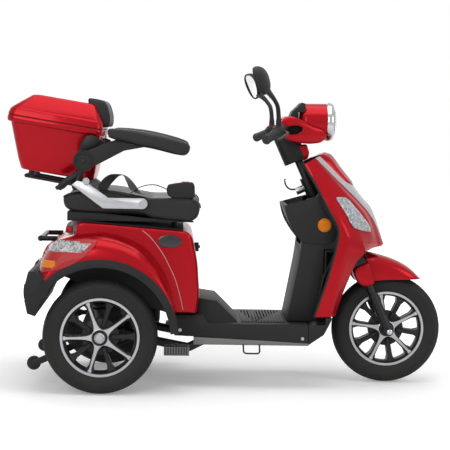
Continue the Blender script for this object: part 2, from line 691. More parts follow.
for name, place, aim, size, power in [
    ("top_panel", (0.0, -0.3, 3.0), (0.0, 0.0, 0.4), 2.6, 46.0),
    ("camera_side_panel", (-1.6, -3.2, 2.0), (0.0, 0.0, 0.5), 1.8, 36.0),
    ("front_panel", (2.6, -1.6, 1.6), (0.3, 0.0, 0.5), 1.4, 17.0),
    ("far_panel", (-0.8, 3.2, 2.0), (0.0, 0.0, 0.5), 1.8, 20.0),
]:
    lamp = bpy.data.lights.new(name, "AREA")
    lamp.size = size
    lamp.energy = power
    holder = placed(name, lamp)
    holder.location = place
    holder.rotation_euler = (Vector(aim) - Vector(place)).to_track_quat("-Z", "Y").to_euler()


def white_for_rays(tree):
    """1 where the eye, a reflection or a lens looks, and 0 for the light that falls on the machine."""
    path = tree.nodes.new("ShaderNodeLightPath")
    shown = path.outputs["Is Camera Ray"]
    for label in ("Is Glossy Ray", "Is Transmission Ray"):
        either = tree.nodes.new("ShaderNodeMath")
        either.operation = "MAXIMUM"
        tree.links.new(shown, either.inputs[0])
        tree.links.new(path.outputs[label], either.inputs[1])
        shown = either.outputs[0]
    return shown


world = bpy.data.worlds.new("studio")
bpy.context.scene.world = world
world.use_nodes = True
nodes, link = world.node_tree.nodes, world.node_tree.links.new
sky = filled(nodes["Background"], {"Color": (1.0, 1.0, 1.0, 1)})
spread_light = filled(nodes.new("ShaderNodeMapRange"), {"To Min": 0.32, "To Max": 1.0})
link(white_for_rays(world.node_tree), spread_light.inputs[0])
link(spread_light.outputs[0], sky.inputs["Strength"])

# the floor glows more with the distance, so that it runs into the white behind it
floor_finish = bpy.data.materials.new("studio_floor")
floor_finish.use_nodes = True
nodes, link = floor_finish.node_tree.nodes, floor_finish.node_tree.links.new
floor_shader = filled(nodes["Principled BSDF"], {"Base Color": (0.93, 0.93, 0.93, 1), "Roughness": 0.75,
                                                 "Specular IOR Level": 0.2,
                                                 "Emission Color": (1.0, 1.0, 1.0, 1)})
distance = nodes.new("ShaderNodeVectorMath")
distance.operation = "LENGTH"
link(nodes.new("ShaderNodeTexCoord").outputs["Object"], distance.inputs[0])
fade = filled(nodes.new("ShaderNodeMapRange"), {"From Min": 0.7, "From Max": 2.4, "To Min": 0.22,
                                                "To Max": 0.75})
link(distance.outputs["Value"], fade.inputs[0])
floor_glow = nodes.new("ShaderNodeMath")
floor_glow.operation = "MULTIPLY"
link(fade.outputs[0], floor_glow.inputs[0])
link(white_for_rays(floor_finish.node_tree), floor_glow.inputs[1])
link(floor_glow.outputs[0], floor_shader.inputs["Emission Strength"])
floor_mesh = bpy.data.meshes.new("studio_floor")
floor_mesh.from_pydata([(x, y, -0.0005) for x, y in ((-12, -12), (12, -12), (12, 16), (-12, 16))], [],
                       [(0, 1, 2, 3)])
floor_mesh.materials.append(floor_finish)
studio_floor = placed("studio_floor", floor_mesh)


def between(table, x):
    """Reads a value from (x, value) rows."""
    if x <= table[0][0]:
        return table[0][1]
    for (a, p), (b, q) in zip(table, table[1:]):
        if x <= b:
            return p + (q - p) * (x - a) / (b - a)
    return table[-1][1]


def radii_along(table, line):
    """A radius for each point of the line, from (point number, radius) rows."""
    return [between(table, i) for i in range(len(line))]


# wheels
def crown(y):
    """The tread's radius across the tyre."""
    y = abs(y)
    return TYRE_R - 11.0 * (y / 30.0) ** 2 if y < 30 else 191.0 - (y - 30.0) * 1.7


def tyre(name, body, centre):
    half = [(129.5, 25.0), (133, 27.5), (138, 30.5), (141, 31.5), (145, 34.0), (147, 34.6), (150, 35.5),
            (160, 37.4), (168, 38.0), (176, 37.6), (182, 35.8), (186.5, 32.0), (190, 26.0), (193.5, 18.0),
            (196, 9.0)]
    profile = [(r, -y) for r, y in half] + [(r, y) for r, y in reversed(half)]
    carcass = piece(name + "_carcass", turned(profile, centre, 96, closed=True), [TYRE], 50)
    blocks = []
    for side in (1, -1):
        for y0, y1, slant, width, rise in ((1.2, 13.0, 2.4, 3.0, 5.0), (14.6, 27.5, 3.4, 3.3, 4.6),
                                           (29.0, 37.2, 1.6, 2.5, 3.0)):
            rows = []
            for k in range(4):
                y = y0 + (y1 - y0) * k / 3
                middle = slant * (k / 3.0 - 0.5) * 1.4 + (2.05 if side < 0 else 0)
                row = []
                for a, depth in ((-width / 2, -rise), (-width / 2 + 0.22, 0), (width / 2 - 0.22, 0),
                                 (width / 2, -rise)):
                    t = math.radians(middle + a)
                    r = crown(y) + depth - (0.9 if depth == 0 and k in (0, 3) else 0)
                    row.append((r * math.cos(t), side * y, r * math.sin(t)))
                rows.append(row)
            blocks.append(skin(rows, close_u=True, ends=True))
    tread = round_axis(name + "_tread", merged(*blocks), 88, centre, 0, TYRE, 30)
    waves = []
    for side in (1, -1):
        for middle, swing, count, phase in ((181.5, 4.5, 22, 0.0), (172.0, 3.0, 22, 0.9)):
            rows = []
            for i in range(264):
                t = 2 * math.pi * i / 264
                r = middle + swing * math.sin(count * t + phase + side)
                y = between([(165, 37.9), (176, 37.6), (182, 35.8), (186.5, 32.0), (190, 26.0)], r)
                rows.append([(centre[0] + (r + a) * math.cos(t), centre[1] + side * (y + b),
                              centre[2] + (r + a) * math.sin(t)) for a,
                             b in ((-1.1, -0.5), (-0.6, 0.75), (0.6, 0.75), (1.1, -0.5))])
            waves.append(skin(rows, close_u=True, close_v=True))
    settle(piece(name + "_waves", merged(*waves), [TYRE], 40), body, "tyre_rubber")
    settle(carcass, body, "tyre_rubber", name)
    settle(tread, body, "tyre_rubber")


def wheel(name, body, centre, turn, sides):
    barrel = [(129.2, -24), (133.5, -30.6), (139.0, -31.0), (139.4, -29.0), (139.4, -31.4), (131.0, -31.4),
              (128.5, -29.5), (122.5, -20), (120.5, 0), (122.5, 20), (128.5, 29.5), (131.0, 31.4),
              (139.4, 31.4), (139.4, 29.0), (139.0, 31.0), (133.5, 30.6), (129.2, 24)]
    ring = turned(barrel, centre, 96, closed=True)
    hub = [turned([(0, -37), (25, -37), (28, -34), (28, 34), (25, 37), (0, 37)], centre, 48, ends=False),
           turned([(0, -10), (60, -10), (66, -6), (66, 8), (60, 12), (0, 12)], centre, 72, ends=False)]
    black = piece(name + "_barrel", merged(ring, *hub), [CAST_BLACK], 35)
    settle(black, body, "black_metal", name)
    for s in sides:
        face = "_out" if s > 0 else "_in"
        blade = []
        for r in (40, 60, 82, 104, 116, 123.5):
            w = between([(30, 8), (60, 8.5), (104, 8.925), (124, 17)], r)
            low, high = 4.0, between([(40, 20), (124, 26)], r)
            blade.append([(r, s * low, -w), (r, s * low, w), (r, s * (high - 3), w), (r, s * high, w - 3),
                          (r, s * high, -w + 3), (r, s * (high - 3), -w)])
        blades = round_axis(name + "_blades" + face, skin(blade, close_u=True, ends=True), 10, centre, turn,
                            CAST_BLACK, 40)
        settle(blades, body, "black_metal")
        arm = []
        for r in (14, 22, 30, 38, 48, 62, 84, 104, 116, 122, 130):
            w = 4.6 + 12.5 * math.exp(-max(r - 24, 0) / 15.0) + (2.6 if r > 121 else 0)
            y = between([(14, 33.0), (40, 31.0), (130, 28.6)], r)
            low = y - 5
            arm.append([(r, s * low, -w - 0.8), (r, s * low, w + 0.8), (r, s * (y - 1.2), w),
                        (r, s * y, w - 1.2), (r, s * y, -w + 1.2), (r, s * (y - 1.2), -w)])
        arms = round_axis(name + "_arms" + face, skin(arm, close_u=True, ends=True), 5, centre, turn, SILVER,
                          40)
        settle(arms, body, "silver_metal")
        lip = [(129.5, 27.0), (129.0, 30.5), (130.2, 32.2), (134.0, 32.6), (138.4, 32.2), (139.6, 30.5),
               (139.2, 27.0)]
        bright = turned([(r, s * y) for r, y in lip], centre, 96, closed=True)
        cup = turned([(30, s * 26), (30, s * 32.5), (27, s * 34.0), (19, s * 34.4), (17, s * 33),
                      (17, s * 26)], centre, 48)
        settle(piece(name + "_lip" + face, merged(bright, cup), [SILVER], 40), body, "silver_metal")
    stem = pipe([(centre[0] + 120, centre[1] + 8, centre[2] - 6),
                 (centre[0] + 104, centre[1] + 12, centre[2] - 6)], 3.2, 10)
    settle(piece(name + "_valve", stem, [RUBBER]), body, "tyre_rubber")


for body, centre, turn, sides in [
    # body, centre, turn of the spokes in degrees, sides that show
    ("rear_wheel_left", (0, TRACK / 2, TYRE_R), 38.0, (1,)),
    ("rear_wheel_right", (0, -TRACK / 2, TYRE_R), 38.0, (-1,)),
    ("front_wheel", (WHEELBASE, 0, TYRE_R), 28.0, (1, -1)),
]:
    tyre(body + "_tyre", body, centre)
    wheel(body + "_rim", body, centre, turn, sides)

# front shield, along guide lines from its head to its foot
guides_high = [
    [(720, 100, 811), (738, 112, 782), (760, 128, 745), (787, 146, 694), (814, 165, 643), (838, 178, 600),
     (846, 183, 575)],
    [(728, 103, 815), (756, 120, 770), (786, 138, 718), (812, 156, 676), (838, 170, 634), (864, 181, 588),
     (880, 186, 552)],
    [(742, 96, 822), (776, 106, 785), (812, 118, 740), (842, 130, 696), (874, 142, 645), (908, 148, 588),
     (935, 146, 535)],
    [(760, 82, 832), (790, 90, 800), (820, 94, 769), (874, 97, 711), (923, 95, 661), (961, 88, 606),
     (984, 74, 524)],
    [(776, 62, 838), (800, 64, 806), (830, 66, 770), (882, 66, 714), (930, 62, 666), (972, 54, 612),
     (1006, 36, 519)],
    [(790, 44, 845), (818, 47, 826), (850, 49, 784), (898, 47, 731), (940, 42, 680), (984, 34, 622),
     (1020, 20, 516)],
    [(800, 0, 850), (828, 0, 838), (862, 0, 794), (906, 0, 741), (946, 0, 690), (988, 0, 638),
     (1032, 0, 516)],
]
guides_low = [
    [(846, 183, 575), (843, 186, 540), (834, 187, 498), (824, 188, 457), (809, 188, 400), (788, 189, 335),
     (764, 189, 264)],
    [(880, 186, 552), (876, 187, 515), (868, 188, 480), (858, 188, 440), (845, 188, 380), (832, 188, 320),
     (819, 187, 264)],
    [(935, 146, 535), (946, 142, 498), (918, 142, 464), (903, 143, 436), (888, 147, 398), (868, 152, 348),
     (840, 158, 264)],
]


def between_guides(guides, rows, shares, passes):
    """Rows across the guides, with a fixed count of steps from each guide to the next."""
    lines = [spaced(smooth_line(g, 10), rows) for g in guides]
    out = []
    for i in range(rows):
        row = []
        for a, b, n in zip(lines, lines[1:], shares):
            row += [a[i].lerp(b[i], k / n) for k in range(n)]
        row.append(lines[-1][i])
        out.append(eased(row, passes))
    return out


SHARES = (4, 8, 8, 5, 4, 8)
MIDDLE = sum(SHARES)  # the column on the middle plane
shield_rows = between_guides(guides_high, 49, SHARES, 3)
low_rows = between_guides(guides_low, 41, (4, 12), 3)
high_skin, low_skin = skin(shield_rows), skin(low_rows)
# the lip under the nose: its crease and its inner edge, from the corner to the tip
crease = [(935, 146, 535), (962, 108, 528), (984, 74, 524), (1006, 36, 519), (1020, 20, 516), (1032, 0, 516)]
inner_edge = [(946, 142, 498), (961, 106, 500), (982, 66, 505), (1002, 34, 507), (1012, 18, 508),
              (1022, 0, 508)]
lip_lines = [spaced(smooth_line(line, 8), 31) for line in (crease, inner_edge)]
lip_rows = [[c.lerp(e, k / 4) - Vector((0, 0, 3.0 * math.sin(math.pi * k / 4))) for k in range(5)] for c,
            e in zip(*lip_lines)]
half_shield = merged(high_skin, low_skin, skin([row[::-1] for row in lip_rows]))
# its inner face is the dark liner that the leg pocket looks onto
shield = thick(piece("front_shield_skin", both_sides(half_shield), [RED, PLASTIC], 50, weld=0.8), 4.0,
               inner_finish=1)
settle(shield, "chassis", "red_paint", "front_shield")


OUTWARD = Vector((0.72, 0.0, 0.69))


def shield_strip(name, edge, last, proud, finish, slot):
    """A thin strip over the shield, from a side edge given as (row, column) to the middle."""
    rows = []
    for step in range(int(last * 2) + 1):
        i = step / 2
        a, b = int(i), min(int(i) + 1, len(shield_rows) - 1)
        start = between(edge, i)
        row = []
        for j in range(15):
            k = start + (MIDDLE - start) * j / 14
            c, d = int(k), min(int(k) + 1, MIDDLE)
            p = shield_rows[a][c].lerp(shield_rows[a][d],
                                       k - c).lerp(shield_rows[b][c].lerp(shield_rows[b][d], k - c), i - a)
            rise = min(j / 1.5, 1.0, (last - i) / 2.0)
            row.append(p + OUTWARD * (proud * rise + 0.5))
        rows.append(row)
    strip = piece(name, both_sides(skin(rows)), [finish], 50, weld=0.8)
    settle(thick(strip, 2.0), "chassis", slot)


# the silver band narrows into the nose, and the centre hood over it ends in a blunt point
shield_strip("front_band", [(0, 20.8), (4, 21.9), (8, 23.4), (12, 24.5), (16, 25.3), (20, 25.8), (26, 26.4),
                            (34, 26.9), (37, 28.4), (40, 31.0), (43.5, 36.5)], 43.5, 0.4, SILVER_PAINT,
             "silver_metal")
shield_strip("front_hood", [(0, 26.0), (4, 26.4), (8, 27.2), (12, 27.8), (15, 28.3), (17, 29.8), (18, 31.8),
                            (19.5, 36.5)], 19.5, 5.0, RED, "red_paint")


# pieces eased from their own solids
EASED = [
    # node, body, slot, finish, edge width in mm
    ("battery_case", "chassis", "grey_plastic", GREY_PLASTIC, 3.0),
    ("footboard", "chassis", "dark_plastic", PLASTIC, 2.5),
    ("lower_cowl", "chassis", "dark_plastic", PLASTIC, 2.5),
    ("leg_panel", "chassis", "dark_plastic", PLASTIC, 1.6),
    ("wheel_arch_liner", "chassis", "dark_plastic", PLASTIC, 1.0),
    ("rear_bumper", "chassis", "dark_plastic", PLASTIC, 3.0),
    ("grab_rail", "chassis", "black_metal", BLACK_METAL, 0.8),
    ("foot_pegs", "chassis", "dark_plastic", PEG_METAL, 1.6),
    ("anti_tip_arms", "chassis", "black_metal", BLACK_METAL, 0.8),
    ("seat_base", "chassis", "dark_plastic", PLASTIC, 2.0),
    ("seat_brackets", "chassis", "silver_metal", SILVER, 1.6),
    ("back_frame", "chassis", "black_metal", BLACK_METAL, 1.0),
    ("armrest_left_arm", "armrest_left", "dark_plastic", PLASTIC, 2.5),
    ("armrest_right_arm", "armrest_right", "dark_plastic", PLASTIC, 2.5),
    ("fork", "steering", "black_metal", BLACK_METAL, 0.8),
    ("column_cover", "steering", "dark_plastic", PLASTIC, 2.0),
    ("key_lock", "chassis", "silver_metal", SILVER, 0.8),
]
for node, body, slot, finish, width in EASED:
    settle(from_solid(node + "_eased", node, [finish], width), body, slot, node)


# side-view outlines laid on a surface
def inside(outline, x, z):
    hit = False
    for (a, b), (c, d) in zip(outline, outline[1:] + outline[:1]):
        if (b > z) != (d > z) and x < (c - a) * (z - b) / (d - b) + a:
            hit = not hit
    return hit


def draped(outline, surface, step, lift=0.0, regions=()):
    """The outline's area as a grid laid at y = surface(x, z); regions are (outline, finish number)."""
    bm = bmesh.new()
    bm.faces.new([bm.verts.new((x, 0, z)) for x, z in outline])
    for axis in (0, 2):
        low, high = min(v.co[axis] for v in bm.verts), max(v.co[axis] for v in bm.verts)
        for k in range(int(low // step) + 1, int(high // step) + 1):
            spot, way = [0, 0, 0], [0, 0, 0]
            spot[axis], way[axis] = k * step, 1
            bmesh.ops.bisect_plane(bm, geom=bm.verts[:] + bm.edges[:] + bm.faces[:], plane_co=spot,
                                   plane_no=way, dist=0.01)
    bm.verts.ensure_lookup_table()
    bm.verts.index_update()
    points = [(v.co.x, surface(v.co.x, v.co.z) + lift, v.co.z) for v in bm.verts]
    faces, kinds = [], []
    for f in bm.faces:
        faces.append(tuple(v.index for v in f.verts))
        c = f.calc_center_median()
        kinds.append(next((k for area, k in regions if inside(area, c.x, c.z)), 0))
    bm.free()
    return points, faces, kinds


# rear body
# the arch's outer edge, as (degrees round the axle, radius)
FLARE = [(14, 271), (18.7, 272), (33.4, 291), (50, 318), (65, 344.5), (78.7, 354), (95, 364), (112.7, 368),
         (118.5, 364), (129.5, 332), (134, 312)]
flare_line = eased([(t, between(FLARE, t), 0) for t in range(14, 135, 2)], 3)
FLARE_SMOOTH = [(p.x, p.y) for p in flare_line]
ARCH_R, BODY_Y, FLARE_OUT = 274, 237.0, 110.0


def round_axle(r, degrees):
    t = math.radians(degrees)
    return r * math.cos(t), TYRE_R + r * math.sin(t)


def flare_y(x, z):
    """How far out the flare stands at a place seen from the side."""
    dx, dz = x, z - TYRE_R
    r, t = math.hypot(dx, dz), math.degrees(math.atan2(dz, dx))
    edge = between(FLARE_SMOOTH, t)
    if edge - ARCH_R < 1 or r >= edge:
        return BODY_Y
    c = min(max(1 - (edge - r) / (edge - ARCH_R), 0.0), 1.0)
    return BODY_Y + FLARE_OUT * (1 - c * c) ** 0.4


def flare_rows(turns, steps, inward):
    """Sections of the flare from the body's side to the arch's lip, set inward by so much."""
    rows = []
    for t in turns:
        edge = between(FLARE_SMOOTH, t)
        row = []
        for k in range(steps + 1):
            f = math.radians(90 * (k / steps) ** 1.3)
            r = edge - inward - (edge - ARCH_R - inward) * (1 - math.cos(f))
            if inward and k == steps:
                r -= 2
            x, z = round_axle(r, t)
            row.append((x, BODY_Y - inward + FLARE_OUT * math.sin(f) ** 0.8, z))
        rows.append(row)
    return rows


flare = thick(piece("rear_flares", both_sides(skin(flare_rows(range(14, 135, 2), 18, 0))), [RED], 60), 4.0)
settle(flare, "chassis", "red_paint")
outline = [(-218, 422), (-215, 470), (-198, 512), (-143, 537), (-99, 547), (-95, 562), (-92, 590), (-84, 597),
           (289, 569), (309, 564), (319, 548), (338, 455), (347, 340), (338, 278)]
dense = flat(spaced(eased(spaced([(x, 0, z) for x, z in outline], 90), 1), 61))
# each point of the outline with its outward way and the corner radius that its side takes
pushes = []
for i in range(len(dense)):
    (a, b), (c, d) = dense[max(i - 1, 0)], dense[min(i + 1, len(dense) - 1)]
    run = math.hypot(c - a, d - b)
    nx, nz = -(d - b) / run, (c - a) / run
    pushes.append((nx, nz, 11.0 + 17.0 * max(nx, 0.0) ** 2))
WIDE, CORNER = 236, 28
stations = [WIDE - CORNER + CORNER * math.sin(math.radians(a)) for a in range(0, 91, 10)]
stations = [-y for y in reversed(stations)] + stations
rows = []
for y in stations:
    row = []
    for (x, z), (nx, nz, r) in zip(dense, pushes):
        over = max(abs(y) - (WIDE - r), 0.0)
        inset = r - math.sqrt(max(r * r - over * over, 0.0))
        row.append((x - nx * inset, y, z - nz * inset))
    rows.append(row)
strip = skin(rows)
sides = []
ARCH = [round_axle(270, t) for t in range(17, 129, 3)]
for row in (rows[0], rows[-1]):
    pts = row + [(x, row[0][1], z) for x, z in ARCH]
    sides.append((pts, [tuple(range(len(pts)))], 0))
body_shell = piece("rear_body_shell", merged(strip, *sides), [RED], 35)
settle(thick(body_shell, 4.0), "chassis", "red_paint", "rear_body")
# black walls and liners inside the wheel arches
wall = [round_axle(272, t) for t in range(17, 129, 3)] + [(-61, 373), (60, 334), (230, 279)]
settle(piece("arch_walls", both_sides(prism(wall, 230, 234)), [PLASTIC], 30), "chassis", "dark_plastic")
liners = piece("flare_liners", both_sides(skin(flare_rows(range(15, 134, 3), 12, 6))), [PLASTIC], 60)
settle(thick(liners, 1.5), "chassis", "dark_plastic")
# the sheet under the seat
tray = prism([(-80, 598.5), (286, 571), (286, 573.5), (-80, 601)], -224, 224)
settle(rounded(piece("under_seat_tray", tray, [PLASTIC], 30), 1.0), "chassis", "dark_plastic")


# tail lamps on the flares
LAMP_OUTLINE = [(-141, 537), (-110, 540), (-60, 541), (-13, 540), (-22, 520), (-38, 501), (-68, 476),
                (-104, 453), (-150, 437), (-201, 426), (-216, 436), (-212, 458), (-206, 477), (-195, 500),
                (-181, 514), (-160, 528)]
CLEAR_BAND = [(-166, 536), (-33, 529), (-52, 510), (-72, 497), (-125, 498), (-186, 500), (-182, 516)]
AMBER_BAND = [(-203, 466), (-155, 466), (-160, 446), (-208, 442)]
lamp = draped(LAMP_OUTLINE, flare_y, 6.0, 1.2, [(CLEAR_BAND, 1), (AMBER_BAND, 2)])
lenses = thick(piece("tail_lamp_lenses", both_sides(lamp), [RED_LENS, REFLECTOR, AMBER], 60), 3.0, 1.0)
settle(lenses, "chassis", "red_lens", "tail_lamps")


# top case in its own tilted frame
def ring_of(cx, half_length, half_width, corner, z, per=7):
    """A rectangle with round corners, per points to a corner."""
    corner = min(corner, half_length - 1, half_width - 1)
    out = []
    for sx, sy, start in ((1, 1, 0), (-1, 1, 90), (-1, -1, 180), (1, -1, 270)):
        for k in range(per):
            t = math.radians(start + 90 * k / (per - 1))
            out.append((cx + sx * (half_length - corner) + corner * math.cos(t),
                        sy * (half_width - corner) + corner * math.sin(t), z))
    return out


def in_case(form):
    points, faces, kinds = form
    return [case_at(*p) for p in points], faces, 0


def case_shell(name, levels, finish, depth, cap_low=False, cap_high=False):
    """Rings up the case, each level given as z, middle x, half length, half width and corner."""
    rows = [ring_of(cx, hl, hw, corner, z) for z, cx, hl, hw, corner in levels]
    caps = []
    if cap_low:
        caps.append((rows[0], [tuple(reversed(range(len(rows[0]))))], 0))
    if cap_high:
        caps.append((rows[-1], [tuple(range(len(rows[-1])))], 0))
    obj = piece(name, in_case(merged(skin(rows, close_u=True), *caps)), [finish], 50, 0.05)
    return thick(obj, depth) if depth else obj


base_levels = [(-186, 32, 114, 132, 22), (-186, 32, 124, 142, 26), (-184.8, 31.8, 129, 147, 28),
               (-181, 31, 132, 150.3, 29), (-175, 30.1, 133.4, 152.2, 29)]
for z in (-150, -120, -90, -60, -32):
    f = (z + 186) / 186
    base_levels.append((z, 32 * (1 - f), 134 + 31 * f, 152 + 46 * f, 29))
base_levels += [(-24.5, 4.2, 161.2, 192.2, 29), (-23.6, 4, 166, 197, 30), (-22, 3, 169.5, 202, 31),
                (-18, 1, 170.8, 203.7, 32), (-4, 0, 171, 204, 32), (-0.8, 0, 169.5, 202.5, 31)]
settle(case_shell("case_base_shell", base_levels, RED, 4.0, cap_low=True), "chassis", "red_paint",
       "case_base")
seal = case_shell("case_seal", [(-6, 0, 168.6, 201.6, 31), (1.4, 0, 168.6, 201.6, 31), (1.4, 0, 164, 197, 28),
                                (-6, 0, 164, 197, 28), (-6, 0, 168.6, 201.6, 31)], PLASTIC, 0)
settle(seal, "chassis", "dark_plastic")
lid_levels = [(2.0, 0, 168.5, 201.5, 30), (3.2, 0, 170.4, 203.4, 31), (12, 0, 168.8, 202.0, 31),
              (22, 0, 165.4, 199.2, 30), (25.4, 0.2, 164.6, 198.4, 30), (27, 0.4, 162.2, 196.0, 28),
              (30, 1.2, 160.6, 195, 27), (55, 8.2, 138.6, 180.6, 25), (79, 15.2, 117, 166.4, 23),
              (83, 16, 112.4, 162.6, 22), (85.8, 16.6, 105, 156, 20), (88, 17, 85, 138, 17),
              (90, 17.4, 50, 100, 14), (90.6, 17.5, 15, 60, 8)]
settle(case_shell("case_lid_shell", lid_levels, RED, 4.0, cap_high=True), "case_lid", "red_paint", "case_lid")
liner_levels = [(-179, 32, 120, 138, 20), (-175, 31, 126, 145, 22), (-40, 7, 153, 184, 24),
                (-6, 0, 160, 193, 25)]
case_liner = case_shell("case_liner", liner_levels, PLASTIC, 1.2, cap_low=True)
settle(case_liner, "chassis", "dark_plastic")

# latch on the lid's back and its catch plate
latch = [(-168, 2), (-172, 4), (-174, 12), (-173.6, 24), (-171, 32), (-167, 35), (-158, 35), (-158, 2)]
settle(rounded(piece("case_latch", in_case(prism(latch, -24, 24)), [PLASTIC], 40), 2.0), "case_lid",
       "dark_plastic")
keyhole = turned([(0, -2.2), (6.2, -2.2), (7.2, -1.2), (7.2, 0), (0, 0)], (-173.6, 0, 19), 28, "X",
                 ends=False)
settle(piece("case_lock", in_case(keyhole), [CHROME], 30), "case_lid", "bright_chrome")

# backrest pad on the case's front
PAD = [(119, 12), (186, 12), (188, 22), (187, 38), (184, 54), (175, 76), (165, 95), (156, 102), (142, 105),
       (120, 105), (97, 104), (101, 88), (112, 70), (119, 54)]
PAD_MIDDLE = (148, 58)


def pad_ring(y, share):
    """The pad's outline at y, shrunk towards its middle."""
    (a, b), line = PAD_MIDDLE, round_loop(PAD, 57, 2, 57)
    return [case_at(a + (p.x - a) * share, y, b + (p.z - b) * share) for p in line]


half = [(151, 0.80), (150.5, 0.88), (148, 0.935), (143, 0.972), (134, 0.99), (110, 1.0), (60, 1.008)]
stations = [(-y, share) for y, share in half] + [(0, 1.012)] + half[::-1]
lid_pad = piece("backrest_pad", skin([pad_ring(*s) for s in stations], close_u=True, ends=True), [VINYL], 50)
settle(lid_pad, "case_lid", "black_vinyl", "lid_pad")
for side, s in (("right", -1), ("left", 1)):
    edge = pad_ring(s * 143.4, 0.974)
    piping = piece("backrest_piping_" + side, pipe(edge + edge[:1], 2.0, 8, ends=False), [VINYL], 60)
    settle(piping, "case_lid", "black_vinyl")
    seam = stitched("backrest_stitches_" + side, pad_ring(s * 132, 1.006)[8:40], 5.0, 0.5, RUBBER)
    settle(seam, "case_lid", "black_vinyl")


# soft pads
def soft_pad(name, outline, stations, count, passes, lift=None):
    """A closed form whose outline, seen from the side, shrinks at the pad's ends; lift shapes its top."""
    line = round_loop(outline, count + 1, passes, count + 1)
    cx = sum(p.x for p in line) / len(line)
    cz = sum(p.z for p in line) / len(line)
    rows = []
    for y, inset in stations:
        row = []
        for p in line:
            out = Vector((p.x - cx, 0, p.z - cz))
            run = max(out.length, 1e-6)
            q = Vector((p.x, 0, p.z)) - out * (inset / run) * min(1.0, run / 60.0 + 0.25)
            row.append((q.x, y, q.z + (lift(q.x, y) if lift and q.z > cz else 0.0)))
        rows.append(row)
    return piece(name, skin(rows, close_u=True, ends=True), [VINYL], 50)


def puffed(obj, voxel, pressure, cap):
    """Swells a closed pad from inside with cloth, and keeps each point within cap of where it was."""
    worked(obj, "REMESH", mode="VOXEL", voxel_size=voxel / 1000, use_smooth_shade=True)
    start = [v.co.copy() for v in obj.data.vertices]
    cloth = obj.modifiers.new("cloth", "CLOTH")
    cloth.settings.use_pressure = True
    cloth.settings.uniform_pressure_force = pressure
    cloth.settings.tension_stiffness = 40
    cloth.settings.compression_stiffness = 40
    cloth.settings.shear_stiffness = 20
    cloth.settings.effector_weights.gravity = 0
    cloth.point_cache.frame_start, cloth.point_cache.frame_end = 1, 20
    for f in range(1, 21):
        bpy.context.scene.frame_set(f)
    graph = bpy.context.evaluated_depsgraph_get()
    swollen = [v.co.copy() for v in obj.evaluated_get(graph).data.vertices]
    obj.modifiers.clear()
    bpy.context.scene.frame_set(1)
    for v, a, b in zip(obj.data.vertices, start, swollen):
        move = b - a
        if move.length > cap / 1000:
            move *= cap / 1000 / move.length
        v.co = a + move
    worked(obj, "SMOOTH", 60, factor=0.5, iterations=4)


SEAT = [(-146, 688), (-147, 668), (-144, 648), (-130, 637), (-80, 633), (-25, 629), (60, 627), (150, 624),
        (176, 611), (240, 607), (315, 603), (336, 610), (344, 628), (349, 655), (344, 676), (325, 684),
        (250, 683), (172, 682), (120, 692), (60, 704), (11, 709), (-40, 706), (-90, 700), (-130, 697)]


def seat_dip(x, y):
    """The bowl that the rider sits in and the seam's groove across it."""
    bowl = -15.0 * math.exp(-(y / 120.0) ** 2) * (1.0 if x < 170 else 0.7)
    channel = -5.0 * math.exp(-((x - 172) / 9.0) ** 2) if abs(y) < 190 else 0.0
    return bowl + channel


half = [(219, 20), (217.5, 13), (213, 7), (206, 3.4), (195, 1.4), (170, 0.4)]
stations = [(-y, inset) for y, inset in half] + [(y, 0) for y in range(-140, 141, 20)] + half[::-1]
cushion = soft_pad("seat_cushion_vinyl", SEAT, stations, 96, 2, seat_dip)
puffed(cushion, 6.0, 3.0, 3.0)
settle(cushion, "chassis", "black_vinyl", "seat_cushion")
SEAT_SEAM = [(-142, 684), (-128, 691), (-90, 694), (-40, 699), (11, 702), (60, 697), (120, 685), (172, 675),
             (250, 677), (322, 677), (340, 668), (345, 652)]
for side, s in (("right", -1), ("left", 1)):
    seam = smooth_line([(x, s * 213.5, z) for x, z in SEAT_SEAM], 6)
    settle(piece("seat_piping_" + side, pipe(seam, 2.2, 8), [VINYL], 60), "chassis", "black_vinyl")
    line = [(p.x, s * 203, p.z + 5.5) for p in seam[6:-8]]
    settle(stitched("seat_stitches_" + side, line, 5.5, 0.5, RUBBER), "chassis", "black_vinyl")

# armrest pads
REST = [(16, 926), (24, 929), (70, 927), (132, 921), (200, 908), (260, 893), (296, 882), (306, 874),
        (306, 866), (298, 846), (290, 838), (276, 838), (236, 847), (196, 857), (158, 865), (130, 868),
        (80, 884), (30, 893), (17, 896), (15, 910)]
REST_STATIONS = [(242.6, 13), (243.4, 8), (246, 4), (251, 1.2), (258, 0), (268, -0.8), (278, 0), (285, 1.2),
                 (290, 4), (292.6, 8), (293.4, 13)]
for side, s in (("left", 1), ("right", -1)):
    pad = soft_pad("armrest_pad_" + side, REST, [(s * y, inset) for y, inset in REST_STATIONS], 64, 1)
    puffed(pad, 3.5, 2.0, 1.5)
    settle(pad, "armrest_" + side, "black_vinyl", "armrest_%s_pad" % side)
    seam = smooth_line([(16, s * 293.2, 899), (80, s * 293.6, 893), (150, s * 293.6, 883),
                        (230, s * 293.4, 866), (299, s * 292.8, 852)], 8)
    settle(piece("armrest_seam_" + side, pipe(seam, 1.3, 6), [VINYL], 60), "armrest_" + side, "black_vinyl")


